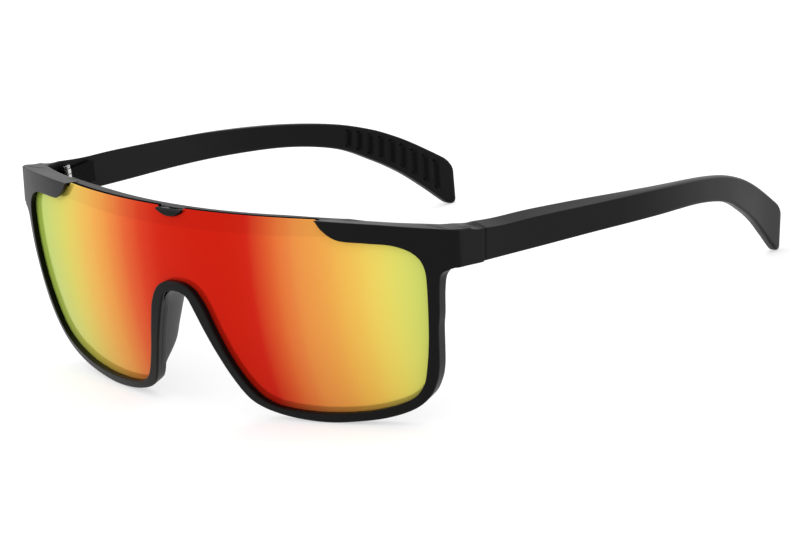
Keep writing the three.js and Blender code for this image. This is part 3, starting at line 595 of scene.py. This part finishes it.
def mirror_coating():
    """A mirror coating whose colour runs across the lens, from yellow-green at its ends through
    yellow and orange to red before the nose, with a painted darker band where the brow bar stands
    close behind it, for the dark bar seen through the lens."""
    material, nodes, links, surface = shader("lens_mirror", (0.7, 0.06, 0.02), 0.12, 0.35, 0.0)
    place = nodes.new("ShaderNodeTexCoord")
    parts = nodes.new("ShaderNodeSeparateXYZ")
    across = nodes.new("ShaderNodeMapRange")
    across.inputs["From Min"].default_value = -COLOUR_REACH * MM
    across.inputs["From Max"].default_value = COLOUR_REACH * MM
    ramp = nodes.new("ShaderNodeValToRGB")
    ramp.color_ramp.interpolation = "CARDINAL"
    while len(ramp.color_ramp.elements) < len(MIRROR_COLOURS):
        ramp.color_ramp.elements.new(0.5)
    for element, (at, colour) in zip(ramp.color_ramp.elements, MIRROR_COLOURS):
        element.position = at / (2 * COLOUR_REACH) + 0.5
        element.color = (*colour, 1)
    # Painted darkening: above the brow bar's foot the coating's colour is scaled down a little, for the
    # dark bar seen through the lens
    shade = nodes.new("ShaderNodeMapRange")
    shade.inputs["From Min"].default_value = (BAR_TOP - BAR_HEIGHT - 0.2) * MM
    shade.inputs["From Max"].default_value = (BAR_TOP - BAR_HEIGHT + 0.1) * MM
    shade.inputs["To Min"].default_value = 1
    shade.inputs["To Max"].default_value = 0.92
    painted_darker_band = nodes.new("ShaderNodeVectorMath")
    painted_darker_band.operation = "SCALE"
    links.new(place.outputs["Object"], parts.inputs[0])
    links.new(parts.outputs["X"], across.inputs["Value"])
    links.new(across.outputs["Result"], ramp.inputs["Fac"])
    links.new(parts.outputs["Z"], shade.inputs["Value"])
    links.new(shade.outputs["Result"], painted_darker_band.inputs["Scale"])
    links.new(ramp.outputs["Color"], painted_darker_band.inputs[0])
    links.new(painted_darker_band.outputs[0], surface.inputs["Base Color"])
    return material


def smoke_tint(name, specular):
    """The dark tinted polycarbonate itself, with a soft haze in its gloss. specular is how bright
    its reflections are: a little on the rear face, and none along the cut edge."""
    material, nodes, links, surface = shader(name, (0.006, 0.005, 0.005), 0.3, specular=specular)
    place = nodes.new("ShaderNodeTexCoord").outputs["Object"]
    uneven_gloss(nodes, links, surface, place, 60, 2, 0.26, 0.36)
    return material


shield = build(
    "shield_lens_body", [shield_sections()], "front", "shield_lens",
    [mirror_coating(), smoke_tint("lens_smoke", 0.08), smoke_tint("lens_cut_edge", 0.0)],
)
normals = np.zeros(len(shield.data.polygons) * 3)
shield.data.polygons.foreach_get("normal", normals)
rearwards = normals[1::3]
finish = np.where(rearwards < MIRROR_FACING, 0, np.where(rearwards > SMOKE_FACING, 1, 2))
shield.data.polygons.foreach_set("material_index", finish.astype(np.int32))

# Temples
# One moulded nylon arm each, flat outside, with a fall along the top's outer edge. It bends in and
# down behind the ear, and nine grip grooves cross the inner face of its tip.
TEMPLE_LENGTH, TIP_CUT, TIP_ROUND = 128.2, 1.6, 3.0  # the underside is shorter, by TIP_CUT
JOINT_SLIT, TIP_SHORT = 0.08, 0.15  # how far it starts behind the joint and ends short of its length
TIP_THICKNESS, TIP_TOP, TIP_SINK = 2.7, 10.6, 1.58  # the under line runs below the table by TIP_SINK
BOW, TIP_INSET, TIP_TWIST = 1.399, 15.7, 1.4  # first outwards, then inwards behind the ear
STATION_RUN = 124.6  # the stations are spaced on this run, which is then stretched to the arm
LATE_FALL, LATE_FALL_WIDTH, SETTLING = 0.4, 1.0, (12, 70)  # the fall further back, and where it changes
RISE_FADING, LEAN_FADING = (30, 80), (0, 45)
TIP_EDGE, CROWN_THIN_SHARE, TWIST_SHARES = 0.35, 0.8, (0.75, 1)
TOP_LINE_SHARES = [
    (0, 0), (0.06, 0.036), (0.156, 0.078), (0.312, 0.163), (0.468, 0.254), (0.624, 0.361),
    (0.741, 0.469), (0.819, 0.576), (0.874, 0.68), (0.92, 0.787), (0.975, 0.93), (1, 1),
]
UNDER_LINE_SHARES = [
    (0, 0), (0.158, 0.062), (0.316, 0.122), (0.474, 0.19), (0.632, 0.274), (0.75, 0.387),
    (0.829, 0.532), (0.885, 0.661), (0.932, 0.798), (0.976, 0.937), (1, 1),
]
# Shares of the length, of the outward bow and of the tip's inset
ARM_SHARES = [
    (0, 0, 0), (0.078, 0.07, 0), (0.156, 0.29, 0), (0.234, 0.58, 0), (0.312, 0.87, 0), (0.39, 1, 0),
    (0.468, 0.71, 0), (0.546, 0, 0.011), (0.624, 0, 0.129), (0.702, 0, 0.28), (0.78, 0, 0.457),
    (0.858, 0, 0.648), (0.92, 0, 0.806), (1, 0, 1),
]
JOINT_RADII, TIP_RADII = np.array([0.4, 0.14, 0.5, 0.5, 0.5]), np.array([0.9, 1.1, 1.0, 0.9, 0.9])
RADII_SHARES = (0.25, 0.65)  # of the length, where the one gives way to the other
GRIPS, GRIP_START, GRIP_PITCH, GRIP_WIDTH, GRIP_DEPTH, GRIP_LEAN = 9, 98.3, 3.05, 1.5, 1.0, 0.15
GRIP_FLOOR_SHARE, GRIP_EDGE_SHARE = 0.15, 0.75  # of a groove's width, to each side of its middle
GRIP_FOOT_SHARES, GRIP_TOP_SHARES = (0.14, 0.22), (0.78, 0.86)  # of the arm's height
GRIP_SKIN = (0.3, 0.02)  # how deep under the inner face a groove begins, and is whole


def along(line, at):
    """The line's second value where its first is at, by straight steps between close samples."""
    samples = spline(line, 900)
    return np.interp(at, samples[:, 0], samples[:, 1])


arm_line = np.array([
    (share * TEMPLE_LENGTH, SIDE_X + bow * BOW - inset * TIP_INSET) for share, bow, inset in ARM_SHARES
])
top_line = np.array(TOP_LINE_SHARES) * (TEMPLE_LENGTH, JOINT_TOP - TIP_TOP)
under_line = np.array(UNDER_LINE_SHARES) * (TEMPLE_LENGTH - TIP_CUT, JOINT_TOP - JOINT_HEIGHT + TIP_SINK)


def temple_sections():
    """The arm carried along its length. A section is drawn in depth, from the outer face inwards,
    and rise, from its underside up; at both ends it draws in, by a bevel at the joint and by an
    arc at the tip. Each groove lowers the inner face by a smooth step to both sides of its middle."""
    straight = np.r_[
        0, 0.06, np.linspace(BEVEL_LENGTH, GRIP_START - 2, 130),
        np.linspace(GRIP_START - 1.8, STATION_RUN, 210),
    ]
    turn = np.linspace(0, np.pi / 2, 22)[1:]
    arc_start = TEMPLE_LENGTH - TIP_ROUND
    length = np.r_[straight / STATION_RUN * arc_start, arc_start + TIP_ROUND * np.sin(turn)]
    bevel = JOINT_BEVEL * (1 - smooth(straight, 0, BEVEL_LENGTH))
    drawn_in = np.r_[bevel, TIP_ROUND * (1 - np.cos(turn))]
    share = length / TEMPLE_LENGTH
    top_at = JOINT_SLIT + (TEMPLE_LENGTH - TIP_SHORT) * share
    under_at = JOINT_SLIT + (TEMPLE_LENGTH - TIP_SHORT - TIP_CUT) * share
    top_z = JOINT_TOP - along(top_line, top_at)
    under_z = JOINT_TOP - JOINT_HEIGHT - along(under_line, under_at)
    height = top_z - under_z
    thick = TEMPLE_THICKNESS + (TIP_THICKNESS - TEMPLE_THICKNESS) * share
    settled = smooth(length, *SETTLING)
    fall = TOP_FALL + (LATE_FALL - TOP_FALL) * settled
    fall_width = FALL_WIDTH + (LATE_FALL_WIDTH - FALL_WIDTH) * settled
    inner_rise = INNER_RISE * (1 - smooth(length, *RISE_FADING))
    tip_thin = (thick[-1] / 2 - TIP_EDGE) * (1 - np.sqrt(1 - np.sin(turn) ** 6))
    beside = np.r_[bevel, tip_thin]
    crown_in = np.r_[np.zeros(len(straight)), tip_thin * CROWN_THIN_SHARE]
    section = section_of(
        (beside, drawn_in), (beside, height - drawn_in - fall),
        (fall_width + crown_in, height - drawn_in - CROWN_SHARE * inner_rise),
        (thick - beside, height - drawn_in + inner_rise), (thick - beside, drawn_in),
    )
    radii = JOINT_RADII + (TIP_RADII - JOINT_RADII) * smooth(share, *RADII_SHARES)[:, None]
    section = rounded(section, radii, 6)
    section = subdivided(section, 3, 18, 6)
    depth, rise = section[..., 0].copy(), section[..., 1]
    height, thick, under_z = height[:, None], thick[:, None], under_z[:, None]
    up = rise / height
    at = under_at[:, None] + (top_at - under_at)[:, None] * up
    grip = np.zeros_like(at)
    for number in range(GRIPS):
        off = np.abs(at + GRIP_LEAN * (height - rise) - GRIP_START - number * GRIP_PITCH)
        groove = 1 - smooth(off, GRIP_FLOOR_SHARE * GRIP_WIDTH, GRIP_EDGE_SHARE * GRIP_WIDTH)
        grip = np.maximum(grip, groove)
    window = smooth(up, *GRIP_FOOT_SHARES) * (1 - smooth(up, *GRIP_TOP_SHARES))
    inner_face = smooth(depth, thick - GRIP_SKIN[0], thick - GRIP_SKIN[1])
    depth -= GRIP_DEPTH * grip * window * inner_face
    twist = TIP_TWIST * (1 - up) * smooth(at / TEMPLE_LENGTH, *TWIST_SHARES)
    x = along(arm_line, at) - twist - depth
    z = under_z + rise
    lean = JOINT_LEAN * (JOINT_TOP - z) * (1 - smooth(at, *LEAN_FADING))
    return np.stack([x, JOINT_Y + at - lean, z], 2)


arm = temple_sections()
for side, tube in (("left", arm), ("right", arm * MIRROR)):
    build(
        f"temple_{side}_body", [tube], f"{side}_temple", f"temple_{side}",
        [moulded_nylon(f"temple_nylon_{side}")],
    )

# Hinges
# Bright nickelled steel. The front leaf is fixed in the endpiece and the temple leaf in the arm;
# their barrels stand turn about on one slotted screw.
STEEL, BLACKENED = (0.62, 0.62, 0.61), (0.006, 0.006, 0.006)
BLACK_FROM, BLACK_TO = 67.5, 67.7


def bright_steel(name):
    """Nickelled steel with fine scratches along the leaf and a soft unevenness in its gloss. From
    BLACK_FROM outwards it is blackened, where it lies against the nylon."""
    material, nodes, links, surface = shader(name, STEEL, 0.25, 1.0)
    place = nodes.new("ShaderNodeTexCoord").outputs["Object"]
    stretch = nodes.new("ShaderNodeMapping")
    stretch.inputs["Scale"].default_value = (3000, 400, 3000)
    links.new(place, stretch.inputs["Vector"])
    uneven_gloss(nodes, links, surface, stretch.outputs["Vector"], 1, 4, 0.18, 0.36)
    parts = nodes.new("ShaderNodeSeparateXYZ")
    outwards = nodes.new("ShaderNodeMath")
    outwards.operation = "ABSOLUTE"
    coat = nodes.new("ShaderNodeMapRange")
    coat.inputs["From Min"].default_value = BLACK_FROM * MM
    coat.inputs["From Max"].default_value = BLACK_TO * MM
    paint = nodes.new("ShaderNodeMix")
    paint.data_type = "RGBA"
    paint.inputs[6].default_value = (*STEEL, 1)
    paint.inputs[7].default_value = (*BLACKENED, 1)
    links.new(place, parts.inputs[0])
    links.new(parts.outputs["X"], outwards.inputs[0])
    links.new(outwards.outputs[0], coat.inputs["Value"])
    links.new(coat.outputs["Result"], paint.inputs[0])
    links.new(paint.outputs[2], surface.inputs["Base Color"])
    return material


steel = bright_steel("hinge_steel")
for name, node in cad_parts.items():
    if name.startswith("hinge_"):
        node.data.materials.clear()
        node.data.materials.append(steel)

# Floor, light and camera
# A plain white table under soft studio light from above and the wearer's right, seen from in
# front of the wearer's left side, a little above. Sizes and places here are in metres.
TABLE_HALF_WIDTH, TABLE_TURNS = 6, [(-1, -1), (1, -1), (1, 1), (-1, 1)]
SKY_STRENGTH = 1.15
LIGHTS = [  # name, place, diameter, power
    ("top_light", (-0.15, 0.1, 0.9), 0.9, 2.0),
    ("front_light", (-0.9, -0.9, 0.7), 0.9, 3.5),
]
LIT_POINT = Vector((0, 0, 0.03))
CAMERA_PLACE = Vector((0.7913765, -0.8215455, 0.3669848))
CAMERA_TURN = (72.6436, 6.7165, 41.9046)  # degrees about the axes x, y and z, in that order
PICTURE_WIDTH, FOCAL_PIXELS, SENSOR_WIDTH = 800, 4769.17, 36


def white_ground():
    """A white table. To the camera and in reflections it is half plain white and half its own
    shading, which keeps the soft shadows; what it throws back onto the glasses is a mid grey."""
    material, nodes, links, surface = shader("white_ground", (0.42, 0.42, 0.42), 0.9, specular=0.1)
    shaded = nodes.new("ShaderNodeBsdfDiffuse")
    shaded.inputs["Color"].default_value = (1, 1, 1, 1)
    glow = nodes.new("ShaderNodeEmission")
    white = nodes.new("ShaderNodeMixShader")
    white.inputs[0].default_value = 0.5
    path = nodes.new("ShaderNodeLightPath")
    seen = nodes.new("ShaderNodeMath")
    seen.operation = "MAXIMUM"
    mix = nodes.new("ShaderNodeMixShader")
    links.new(shaded.outputs[0], white.inputs[1])
    links.new(glow.outputs[0], white.inputs[2])
    links.new(path.outputs["Is Camera Ray"], seen.inputs[0])
    links.new(path.outputs["Is Glossy Ray"], seen.inputs[1])
    links.new(seen.outputs[0], mix.inputs[0])
    links.new(surface.outputs[0], mix.inputs[1])
    links.new(white.outputs[0], mix.inputs[2])
    links.new(mix.outputs[0], nodes["Material Output"].inputs["Surface"])
    return material


def studio():
    """White all round, plain to the camera and SKY_STRENGTH as a light."""
    world = bpy.data.worlds.new("studio")
    world.use_nodes = True
    nodes, links = world.node_tree.nodes, world.node_tree.links
    light = nodes["Background"]
    light.inputs["Color"].default_value = (1, 1, 1, 1)
    light.inputs["Strength"].default_value = SKY_STRENGTH
    plain = nodes.new("ShaderNodeBackground")
    plain.inputs["Color"].default_value = (1, 1, 1, 1)
    path = nodes.new("ShaderNodeLightPath")
    mix = nodes.new("ShaderNodeMixShader")
    links.new(path.outputs["Is Camera Ray"], mix.inputs[0])
    links.new(light.outputs[0], mix.inputs[1])
    links.new(plain.outputs[0], mix.inputs[2])
    links.new(mix.outputs[0], nodes["World Output"].inputs["Surface"])
    return world


table_corners = [(x * TABLE_HALF_WIDTH, y * TABLE_HALF_WIDTH, 0) for x, y in TABLE_TURNS]
table_mesh = bpy.data.meshes.new("table")
table_mesh.from_pydata(table_corners, [], [(0, 1, 2, 3)])
table_mesh.materials.append(white_ground())
floor = bpy.data.objects.new("table", table_mesh)
bpy.context.scene.collection.objects.link(floor)
bpy.context.scene.world = studio()

for name, place, diameter, power in LIGHTS:
    lamp = bpy.data.lights.new(name, "AREA")
    lamp.shape = "DISK"
    lamp.size = diameter
    lamp.energy = power
    lamp_object = bpy.data.objects.new(name, lamp)
    bpy.context.scene.collection.objects.link(lamp_object)
    turn = (LIT_POINT - Vector(place)).to_track_quat("-Z", "Y")
    lamp_object.matrix_world = Matrix.LocRotScale(Vector(place), turn, None)

camera_data = bpy.data.cameras.new("camera")
camera_data.sensor_fit = "HORIZONTAL"
camera_data.sensor_width = SENSOR_WIDTH
camera_data.lens = FOCAL_PIXELS / PICTURE_WIDTH * SENSOR_WIDTH
camera_data.clip_end = 20
camera = bpy.data.objects.new("camera", camera_data)
bpy.context.scene.collection.objects.link(camera)
camera.matrix_world = Matrix.LocRotScale(CAMERA_PLACE, Euler(np.radians(CAMERA_TURN)), None)
bpy.context.scene.camera = camera
bpy.context.scene.view_settings.view_transform = "Standard"
